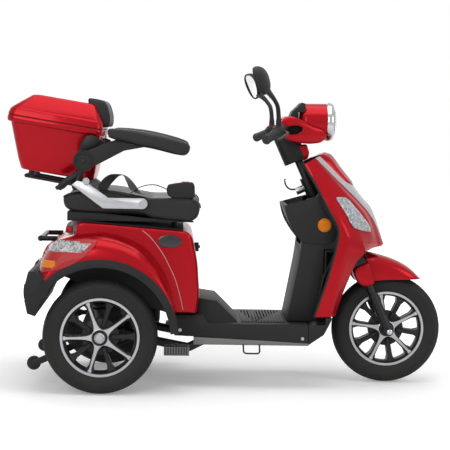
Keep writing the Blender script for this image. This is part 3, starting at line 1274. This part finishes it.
# headlamp shell, ring, lens and wings
LAMP_CENTRE = (0, 0, 964.0)
shell_profile = [(0, 706), (30, 706.5), (48, 709), (58, 713), (64.5, 720), (67, 730), (67.6, 760),
                 (67.8, 800), (67.8, 811), (64.8, 811), (64.6, 800), (63.5, 740), (56, 722), (30, 714),
                 (0, 713)]
shell = piece("head_shell", turned(shell_profile, LAMP_CENTRE, 72, "X", ends=False), [RED], 40)
settle(shell, "steering", "red_paint", "head_cowling")
turns = [2 * math.pi * i / 48 for i in range(48)]
opening = [(680 + 33 * math.cos(t), 934 + 16 * math.sin(t) + 3 * math.cos(t)) for t in turns]
BORDER = [(806, 926), (800, 934), (775, 941), (748, 950), (724, 962), (700, 976), (672, 984), (648, 982),
          (634, 970), (633, 940), (638, 918), (650, 901), (672, 891), (702, 886), (745, 884), (780, 888),
          (800, 900), (806, 912)]
loop = round_loop(BORDER, 97, 2, 49)
# both loops start at the front and run the same way
first = max(range(48), key=lambda i: loop[i].x - abs(loop[i].z - 930))
loop = loop[first:] + loop[:first]
# from the opening to the wing's edge and round it: share of the way, how far inward
WING_STEPS = [(0.0, 9), (0.0, 3), (0.05, 0), (0.25, -0.5), (0.5, -0.5), (0.8, 0), (0.94, 1.5), (1.0, 6),
              (1.0, 20), (0.97, 40), (0.9, 58)]


def wing_y(x, z):
    return 61 + 51 * min(max((800 - x) / 160, 0), 1) ** 0.75 - 0.004 * (z - 935) ** 2


for side, s in (("left", 1), ("right", -1)):
    rows = []
    for share, inward in WING_STEPS:
        row = []
        for (ox, oz), p in zip(opening, loop):
            x, z = ox + (p.x - ox) * share, oz + (p.z - oz) * share
            row.append((x, s * max(wing_y(x, z) - inward, 22), z))
        rows.append(row)
    wing = piece("head_wing_" + side, skin(rows, close_u=True), [RED], 50)
    settle(thick(wing, 2.5), "steering", "red_paint")
ring_profile = [(60, 806), (69.6, 806), (71.4, 809), (72.0, 815), (71.0, 822), (68.5, 828), (64.5, 831.5),
                (60.6, 832), (58.8, 830), (58.8, 812), (60, 806)]
lens_profile = [(0, 845.5), (14, 845), (28, 843), (40, 839.6), (50, 835.4), (58.6, 829.5), (58.6, 826.5),
                (49, 832), (39, 836.5), (27, 840), (13, 842), (0, 842.4)]
bowl_profile = [(58.4, 826), (56, 812), (50, 794), (40, 778), (28, 766), (12, 760), (0, 759.5), (0, 758),
                (14, 758.4), (30, 764), (43, 776), (53, 793), (58.4, 811)]
bulb_profile = [(0, 800), (5, 798.5), (7.5, 794), (8, 786), (6.5, 776), (6, 760), (0, 760)]
for name, profile, steps, finish, sharp, slot, nodes_for in [
    ("head_lamp_bezel", ring_profile, 96, CHROME, 40, "bright_chrome", ["head_lamp_ring"]),
    ("head_lamp_glass", lens_profile, 72, LENS, 60, "clear_lens", ["head_lamp_lens"]),
    ("head_lamp_bowl", bowl_profile, 72, REFLECTOR, 60, "bright_chrome", []),
    ("head_lamp_bulb", bulb_profile, 28, BULB, 60, "clear_lens", []),
]:
    settle(piece(name, turned(profile, LAMP_CENTRE, steps, "X", ends=False), [finish], sharp), "steering",
           slot, *nodes_for)


# third brake lamp in the notch of the tail
block = [(-140, 548), (-139, 562), (-137, 577), (-132, 584), (-103, 596), (-94, 596), (-94, 549), (-100, 547),
         (-122, 541)]
brake = rounded(piece("brake_lamp_block", prism(block, -98, 98), [REFLECTOR], 30), 3.0)
settle(brake, "chassis", "clear_lens")
window = [(-142, 549), (-141, 563), (-139, 571), (-115, 571), (-115, 547), (-122, 545.5)]
settle(rounded(piece("brake_lamp_lens", prism(window, -99.5, 99.5), [RED_LENS], 30), 1.5), "chassis",
       "red_lens")

# seam, pin line and blank oval on the body's side
pin = smooth_line([(140, -237.4, 571), (171, -237.4, 545), (211, -237.4, 493), (238, -237.4, 444),
                   (260, -237.4, 396), (278, -237.4, 336), (288, -237.4, 290)], 6)
line = ribbon(pin, 0.8, 2.2, (0, 1, 0))
settle(piece("body_pin_lines", both_sides(line), [PIN_LINE], 60), "chassis", "grey_plastic")
oval = turned([(0, 239.4), (0.8, 239.3), (0.93, 239.0), (1.0, 238.0), (1.0, 236.5), (0, 236.5)], steps=48,
              ends=False)
oval = ([(238 + x * 42, y, 533.5 + z * 23.5) for x, y, z in oval[0]], oval[1], 0)
settle(piece("body_ovals", both_sides(oval), [GLOSS_BLACK], 40), "chassis", "dark_plastic")
latch = merged(slab((328, -14, 478), (344, 14, 510)), slab((336, -6, 490), (349, 6, 500)))
settle(rounded(piece("seat_latch", latch, [PLASTIC], 30), 2.0), "chassis", "dark_plastic")

# front lamps laid on the shield
shield_skin = BVHTree.FromObject(shield, bpy.context.evaluated_depsgraph_get())


def shield_y(x, z):
    hit = shield_skin.ray_cast(at(x, 400, z), Vector((0, -1, 0)))[0]
    return hit.y * 1000 if hit else 100.0


FRONT_LAMP = [(835, 693), (852, 694), (872, 691), (885, 684), (903, 664), (925, 640), (943, 618), (960, 597),
              (970, 580), (971, 568), (954, 570), (928, 576), (901, 585), (886, 605), (874, 630), (858, 655),
              (843, 676)]
bed = draped(FRONT_LAMP, shield_y, 7.0, 0.4)
settle(piece("front_lamp_beds", both_sides(bed), [REFLECTOR], 60), "chassis", "bright_chrome")


def lamp_dome(x, z):
    near = min(math.hypot(x - a, z - b) for a, b in FRONT_LAMP)
    return shield_y(x, z) + 1.0 + min(near / 14.0, 1.0) * 4.0


cover = piece("front_lamp_covers", both_sides(draped(FRONT_LAMP, lamp_dome, 6.0)), [CLEAR], 60)
settle(thick(cover, 1.6, 1.0), "chassis", "clear_lens", "front_lamps")

# reflectors
disc = turned([(0, 143.6), (12, 143.4), (20, 142.4), (24, 140.6), (25.4, 138.5), (25.4, 134.4), (0, 134.4)],
              (796, 0, 592), 48, ends=False)
rim = turned([(25.0, 138.6), (26.8, 139.4), (27.6, 137.6), (27.6, 134.4), (25.0, 134.4)], (796, 0, 592), 48)
settle(piece("side_reflectors", both_sides(disc), [AMBER], 40), "chassis", "amber_lens", "reflectors")
settle(piece("side_reflector_rims", both_sides(rim), [PLASTIC], 40), "chassis", "dark_plastic")
disc = turned([(0, -270.5), (14, -270.2), (20, -269), (23, -266), (23, -262), (0, -262)], (0, 286, 354), 40,
              "X", ends=False)
rim = turned([(22.6, -266), (26, -268.4), (27.4, -266), (27.4, -258), (22.6, -258)], (0, 286, 354), 40, "X")
settle(piece("rear_reflectors", both_sides(disc), [RED_LENS], 40), "chassis", "red_lens")
settle(piece("rear_reflector_rims", both_sides(rim), [PLASTIC], 40), "chassis", "dark_plastic")
settle(from_solid("number_plate_eased", "number_plate", [PLATE], 0.5), "chassis", "plate_white",
       "number_plate")

# front mudguard
GUARD = [
    # x, centre z, ridge y, ridge z, edge y, edge z
    (961, 489, 57, 456, 60, 377), (980, 486, 57.5, 453, 61, 381), (998, 482, 58, 450, 61.5, 384),
    (1043, 470, 58, 441, 61.5, 388), (1070, 461, 57, 433.5, 60.5, 388.5), (1093, 451, 55, 425, 59, 388.7),
    (1118, 437, 51, 415, 55, 389), (1139, 422, 45, 405.5, 49, 389.4), (1155, 407, 37, 397.5, 40, 389.6),
    (1166, 396, 26, 392, 28, 389.8), (1173, 390.5, 12, 390, 13, 389.8),
]
rows = []
for x, top, ry, rz, ey, ez in GUARD:
    corners = [(x, 0, top), (x, ry * 0.45, top - (top - rz) * 0.14), (x, ry * 0.8, top - (top - rz) * 0.5),
               (x, ry, rz), (x, ey, rz * 0.45 + ez * 0.55), (x, ey, ez)]
    half = spaced(eased(spaced(corners, 25), 2), 21)
    rows.append([(p.x, -p.y, p.z) for p in reversed(half)] + [tuple(p) for p in half[1:]])
columns = [smooth_line([row[j] for row in rows], 4) for j in range(len(rows[0]))]
guard = thick(piece("mudguard_shell", skin(list(zip(*columns))), [RED], 50), 3.0)
settle(guard, "steering", "red_paint", "front_mudguard")
COVER = [(966, 454), (950, 452), (936, 447), (920, 439), (911, 429), (911, 412), (918, 394), (930, 376),
         (948, 366), (968, 366), (992, 376), (985, 400), (974, 430)]
COVER_MIDDLE = Vector((950, 0, 410))
COVER_LEVELS = [  # how far out, share of the outline
    (58, 1.0), (80, 1.0), (92, 0.985), (98, 0.95), (101.5, 0.88), (103, 0.76), (103.4, 0.5), (103.5, 0.1),
]
cover_line = round_loop(COVER, 65, 1, 49)
rows = [[COVER_MIDDLE.lerp(p, share) + Vector((0, y, 0)) for p in cover_line] for y, share in COVER_LEVELS]
covers = piece("mudguard_leg_covers", both_sides(skin(rows, close_u=True, ends=True)), [RED], 60)
settle(covers, "steering", "red_paint")
split = smooth_line([(961, 62.4, 488), (963, 62.6, 470), (969, 62.8, 450), (984, 62.8, 408),
                     (995, 62.8, 378)], 5)
settle(piece("mudguard_split_lines", both_sides(pipe(split, 1.3, 6)), [PLASTIC], 60), "steering",
       "dark_plastic")

# axle caps on the fork
cap = turned([(0, 122), (6, 121.6), (9.4, 119.6), (10.6, 116), (10.6, 107), (0, 107)],
             (WHEELBASE, 0, TYRE_R), 32, ends=False)
settle(piece("fork_axle_caps", both_sides(cap), [CHROME], 40), "steering", "bright_chrome")
axle = from_solid("rear_axle_eased", "rear_axle", [MOTOR, SILVER], 0.6)
for face in axle.data.polygons:
    face.material_index = 1 if abs(face.center.y) > 0.343 else 0
settle(axle, "chassis", "black_metal", "rear_axle")
cap = turned([(14.5, 358), (15.5, 358.4), (18.2, 356), (19, 349), (19, 345.5), (14.5, 345.5)],
             (0, 0, TYRE_R), 36)
settle(piece("rear_axle_washers", both_sides(cap), [SILVER], 35), "chassis", "silver_metal")


# grips, controls and mirrors
def spun(a, b, profile, steps=28):
    """Turned round the line from a to b; the profile gives the distance from a and the radius."""
    a, b = Vector(a), Vector(b)
    run = (b - a).normalized()
    side = run.cross(Vector((0, 0, 1) if abs(run.z) < 0.95 else (1, 0, 0))).normalized()
    top = side.cross(run)
    turns = [2 * math.pi * i / steps for i in range(steps)]
    rows = [[a + run * d + (side * math.cos(t) + top * math.sin(t)) * r for t in turns] for d, r in profile]
    return skin(rows, close_u=True)


BAR_BEND, GRIP_END = Vector((652, 100, 944)), Vector((567, 310, 899))
grip_run = (GRIP_END - BAR_BEND).normalized()
grip_start = GRIP_END - grip_run * 118
control_start = grip_start - grip_run * 44
profile = [(0, 0), (0, 18.5), (3, 19.5), (5, 17)]
for k in range(16):
    profile += [(7 + k * 6.4, 14.4), (7.8 + k * 6.4, 15.8), (11.2 + k * 6.4, 15.8), (12 + k * 6.4, 14.4)]
profile += [(111, 16.4), (115, 17), (117.4, 15), (118, 10), (118, 0)]
settle(piece("grips_ribbed", both_sides(spun(grip_start, GRIP_END, profile)), [RUBBER], 35), "steering",
       "grip_rubber", "grips")
housing = spun(control_start, grip_start, [(0, 0), (0, 14), (2, 19), (6, 22.5), (21, 23), (22, 22), (24, 22),
                                           (25, 23), (37, 22.6), (41, 20), (43.6, 16.5), (43.8, 0)])
lever_side = Vector((0, 0, 1)).cross(grip_run).normalized()
lever_side = -lever_side if lever_side.x < 0 else lever_side
root = (control_start + grip_start) * 0.5 + lever_side * 18
knee = root + lever_side * 23 + grip_run * 23
tip = knee + grip_run * 116
lever_line = smooth_line([root, root + lever_side * 13 + grip_run * 4, knee,
                          knee + grip_run * 45 + lever_side * 2, tip - grip_run * 14, tip], 6)
radii = radii_along([(0, 8.5), (8, 7.5), (18, 6.2), (26, 5.6), (28, 6.4), (30, 4.0)], lever_line)
lever = pipe(lever_line, radii, 14, squeeze=0.72)
settle(piece("control_housings", both_sides(housing), [PLASTIC], 40), "steering", "dark_plastic",
       "hand_controls")
settle(piece("brake_levers", both_sides(lever), [BLACK_METAL], 50), "steering", "black_metal")
middle = control_start + grip_run * 12
switches = []
for along, lift, radius in ((0, 0.15, 5.0), (13, 0.15, 4.2), (5, 0.8, 5.5)):
    way = (-lever_side + Vector((0, 0, lift))).normalized()
    foot = middle + grip_run * along
    switches.append(spun(foot + way * 20, foot + way * 30,
                         [(0, 0), (0, radius), (5.6, radius), (7, radius - 1.2), (7.2, 0)], 16))
settle(piece("control_buttons", both_sides(merged(*switches[:2])), [GREY_PLASTIC], 35), "steering",
       "grey_plastic")
settle(piece("horn_buttons", both_sides(switches[2]), [BUTTON], 35), "steering", "red_lens")

MIRROR_LEVELS = [  # the shell's and the glass's (distance behind the face, share of the outline)
    [(1.5, 0.875), (-1.4, 0.88), (-2.4, 0.93), (-1.8, 0.985), (0, 1.0), (4, 1.0), (10, 0.975), (17, 0.905),
     (23, 0.79), (27.5, 0.61), (30, 0.38), (31, 0.15), (31.2, 0.0)],
    [(1.5, 0.87), (-0.4, 0.868), (-0.6, 0.86), (-0.6, 0.0)],
]


def egg_outline(reach):
    """The mirror's rounded outline, a little wider at its top."""
    points = []
    for i in range(48):
        t = 2 * math.pi * i / 48
        u, v = [reach * math.copysign(abs(w) ** 0.9, w) for w in (math.cos(t), math.sin(t))]
        points.append((u * (1 + 0.0035 * v), v))
    return points


for side, s in (("left", 1), ("right", -1)):
    n = Vector((-0.883, -s * 0.321, -0.342)).normalized()
    w = n.cross(Vector((0, 0, 1))).normalized()
    h = w.cross(n).normalized()
    h = -h if h.z < 0 else h
    middle = Vector((541, s * 296, 1103)) if s < 0 else Vector((544, s * 296, 1097))
    forms = []
    for levels in MIRROR_LEVELS:
        rows = [[middle - n * depth + w * u * size + h * v * size for u, v in egg_outline(52.0)]
                for depth, size in levels]
        forms.append(skin(rows, close_u=True))
    shell, glass = forms
    settle(piece("mirror_shell_" + side, shell, [PLASTIC], 50), "steering", "dark_plastic",
           *(["mirrors"] if s > 0 else []))
    settle(piece("mirror_glass_" + side, glass, [GLASS], 40), "steering", "bright_chrome")
    end = middle - n * 13 - h * 34
    stem = smooth_line([(617, s * 183, 926), (618, s * 184, 969), (613, s * 193, 1014), (600, s * 216, 1038),
                        (584, s * 244, 1056), tuple(end)], 6)
    radii = radii_along([(0, 11), (5, 10.5), (7, 8.2), (12, 7.8), (18, 7.6), (24, 9.5), (30, 12)], stem)
    nut = spun((617, s * 183, 922), (617, s * 183, 940),
               [(0, 0), (0, 14), (8, 14), (10, 12.4), (14, 12), (14, 0)], 24)
    settle(piece("mirror_stem_" + side, merged(pipe(stem, radii, 16), nut), [PLASTIC], 50), "steering",
           "black_metal")

# dark tray behind the wings' openings, and the red strip down the column's front
tray = rounded(piece("head_tray", prism([(642, 912), (655, 902), (712, 898), (722, 930), (716, 955),
                                         (650, 962)], -62, 62), [PLASTIC], 30), 6.0)
settle(tray, "steering", "dark_plastic")
strip = rounded(piece("column_red_strip", prism([(702, 878), (735, 882), (746, 852), (741, 830), (722, 820),
                                                 (707, 834)], -26, 26), [RED], 30), 5.0)
settle(strip, "steering", "red_paint")

# leg panel trims
edge = [tuple(p) for p in smooth_line(guides_high[0], 6)] + [tuple(p) for p in smooth_line(guides_low[0],
        6)][1:]
edge = [(x - 3, y - 3, z) for x, y, z in edge]
settle(piece("shield_edge_seals", both_sides(pipe(edge, 5.0, 10)), [PLASTIC], 60), "chassis", "dark_plastic")
POCKET = [(651, 655), (655, 636), (661, 615), (670, 593), (683, 571), (698, 549), (714, 529), (757, 523),
          (799, 521), (820, 527), (834, 540), (842, 560), (838, 574), (812, 618), (784, 664), (768, 690),
          (709, 671), (668, 659)]
cheek = prism(flat(round_loop(POCKET, 60)), 133.2, 137.6)
settle(rounded(piece("leg_pocket_cheeks", both_sides(cheek), [PLASTIC], 30), 2.2, 2, 50), "chassis",
       "dark_plastic")

hook = smooth_line([(736, 0, 726), (716, 0, 720), (698, 0, 714), (680, 0, 714), (666, 0, 724), (659, 0, 740),
                    (659, 0, 752)], 6)
hook_pipe = pipe(hook, radii_along([(0, 6), (10, 4.5), (30, 3.6)], hook), 12, squeeze=0.8)
settle(piece("bag_hook", hook_pipe, [GLOSS_BLACK], 60), "chassis", "black_metal")

# seat belt: straps, buckle and its button
WEB_SECTION = [(-1, -1), (-0.5, -1.25), (0, -1), (0.5, -1.25), (1, -1), (1, 1), (0.5, 0.75), (0, 1),
               (-0.5, 0.75), (-1, 1)]


def strap(path, width, depth):
    """A webbing strap; each path row gives a point and the way its width runs."""
    rows = []
    centres = smooth_line([p for p, _ in path], 6)
    ways = smooth_line([w for _, w in path], 6)
    for i, (p, way) in enumerate(zip(centres, ways)):
        run = (centres[min(i + 1, len(centres) - 1)] - centres[max(i - 1, 0)]).normalized()
        a = (way - run * way.dot(run)).normalized()
        n = a.cross(run).normalized()
        rows.append([p + a * u * width / 2 + n * v * depth / 2 for u, v in WEB_SECTION])
    return skin(rows, close_u=True, ends=True)


belts = [
    strap([((-8, -190, 706), (0.9, 0.3, 0.2)), ((4, -190, 730), (0.8, 0.5, -0.3)),
           ((24, -188, 750), (0.6, 0.7, -0.5)), ((50, -186, 762), (0.1, 1, -0.2)),
           ((70, -185, 762), (0, 1, 0)), ((86, -185, 745), (0.3, 1, 0.2)),
           ((102, -185, 722), (0.5, 0.9, 0.3)), ((124, -186, 702), (0.3, 1, 0)),
           ((150, -187, 695), (0, 1, 0))], 38, 2.2),
    strap([((96, -178, 700), (0, 1, 0)), ((118, -180, 716), (0, 1, 0)), ((150, -182, 728), (0, 1, 0)),
           ((182, -184, 730), (0, 1, 0)), ((208, -185, 722), (0, 1, 0)), ((232, -185, 712), (0, 1, 0)),
           ((250, -185, 710), (0, 1, 0))], 38, 2.2),
]
settle(piece("belt_straps", merged(*belts), [WEB], 50), "chassis", "black_web", "seat_belt")
BUCKLE = [(228, 732), (256, 738), (288, 741), (316, 742), (323, 732), (325, 692), (318, 684), (282, 682),
          (244, 684), (226, 696), (222, 714)]
buckle = piece("belt_buckle", prism(flat(round_loop(BUCKLE, 50, 1)), -206, -164), [PLASTIC], 30)
settle(rounded(buckle, 5.0, 3, 50), "chassis", "dark_plastic")
settle(rounded(piece("belt_button", slab((276, -196, 738), (304, -174, 744)), [BUTTON], 30), 1.5), "chassis",
       "red_lens")

# levers, hubs, bolts and small wheels
def outer(node):
    """How far a solid reaches from the middle plane."""
    low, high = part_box(node)
    return max(abs(low[1]), abs(high[1])) * 1000


lever_line = smooth_line([(-168, 220, 713), (-156, 220, 720), (-134, 220, 738), (-106, 220, 756),
                          (-90, 220, 768)], 6)
radii = radii_along([(0, 5), (2, 8), (4, 8), (6, 7), (8, 11), (16, 12.5), (22, 11), (24, 8)], lever_line)
seat_lever = pipe(lever_line, radii, 14)
settle(piece("recline_levers", both_sides(seat_lever), [VINYL], 60), "chassis", "black_vinyl")
plate = [(-96, 806), (-90, 850), (-74, 889), (-60, 899), (-18, 889), (4, 880), (-6, 858), (-34, 822),
         (-60, 800)]
plates = rounded(piece("seat_back_plates", both_sides(prism(plate, 209, 214.5)), [PLASTIC], 30), 1.6)
settle(plates, "chassis", "dark_plastic")
cap = turned([(0, 219.5), (8, 219.2), (10.4, 217.6), (11, 214), (0, 214)], (-49, 0, 862), 32, ends=False)
settle(piece("seat_back_caps", both_sides(cap), [GLOSS_BLACK], 40), "chassis", "dark_plastic")
hub_y = outer("armrest_left_arm")
HUB_PROFILE = [(0, 1.6), (9, 1.6), (10, 0.2), (24, 0.2), (25, 2.4), (28, 2.6), (29, 0.2), (33, 0.2), (34, 1.8),
               (36.5, 1.6), (37, -1.5), (0, -1.5)]
for side, s in (("left", 1), ("right", -1)):
    ring = turned([(r, hub_y + rise) for r, rise in HUB_PROFILE], (-67, 0, 813), 48, ends=False)
    settle(piece("armrest_hub_" + side, ring if s > 0 else flipped(ring), [PLASTIC], 40), "armrest_" + side,
           "dark_plastic")
tray = [(328, 188), (420, 184), (560, 178), (700, 171), (742, 169), (742, 160.5), (328, 160.5)]
tray_y = outer("lower_cowl")
trays = piece("battery_tray_edges", both_sides(prism(tray, tray_y - 1, tray_y + 1.4)), [TRAY_METAL], 30)
settle(rounded(trays, 0.6), "chassis", "silver_metal")
bolt_rows = [
    ("bracket_bolts", outer("seat_brackets"), [(138, 664), (-60, 742)], 12.0, 5.0, SILVER, "silver_metal"),
    ("floor_bolts", outer("footboard"), [(720, 186), (279, 212)], 6.0, 3.0, SILVER, "silver_metal"),
]
for name, y, spots, radius, height, finish, slot in bolt_rows:
    marks = [((x, s * y, z), (0, s, 0)) for x, z in spots for s in (1, -1)]
    settle(fasteners(name, marks, radius, height, finish, 12), "chassis", slot)
for side, s in (("left", 1), ("right", -1)):
    centre = (-241, s * 200, 87)
    roller = turned([(0, -6), (7, -6), (8, -9.4), (19, -9.4), (22.5, -9.8), (24.6, -7), (25, -3), (25, 3),
                     (24.6, 7), (22.5, 9.8), (19, 9.4), (8, 9.4), (7, 6), (0, 6)],
                   centre, 48, ends=False)
    settle(piece("anti_tip_roller_" + side, roller, [RUBBER], 35), "anti_tip_" + side, "tyre_rubber",
           "anti_tip_wheel_" + side)
    pin = turned([(0, -9.6), (4.6, -9.6), (5.4, -8.6), (5.4, 8.6), (4.6, 9.6), (0, 9.6)], centre, 20,
                 ends=False)
    settle(piece("anti_tip_pin_" + side, pin, [SILVER], 35), "anti_tip_" + side, "silver_metal")
rib_starts = [226 + k * 9.4 for k in range(9)]
ribs = [slab((x, 262.5, 169), (x + 4.6, 324.5, 172)) for x in rib_starts]
ribs += [slab((x, 324, 143), (x + 4.6, 326, 168)) for x in rib_starts]
settle(piece("foot_peg_ribs", both_sides(merged(*ribs)), [RUBBER], 30), "chassis", "grip_rubber")

# springs round the dampers
for side, s in (("left", 1), ("right", -1)):
    start = [(0, s * 150, 228), (0, s * 150, 229), (1, s * 150, 228)]
    spring = piece("damper_spring_" + side, (start, [(0, 1, 2)], 0), [BLACK_METAL])
    sizes = {"Turns": 9.0, "Coil Radius": 0.0245, "Length": 0.15, "Wire": 0.0042}
    stance = {"Foot": at(-9, s * 150, 276), "Lean": (0.0, -0.188, 0.0)}
    grown(spring, TREES["coil"], {**sizes, **stance, "Finish": BLACK_METAL}, 60)
    settle(spring, "chassis", "black_metal")

# solids that keep their own shape
for node, finish in [("frame", BLACK_METAL), ("handlebar", BLACK_METAL), ("stick_loop", BLACK_METAL)]:
    dress(node, finish)
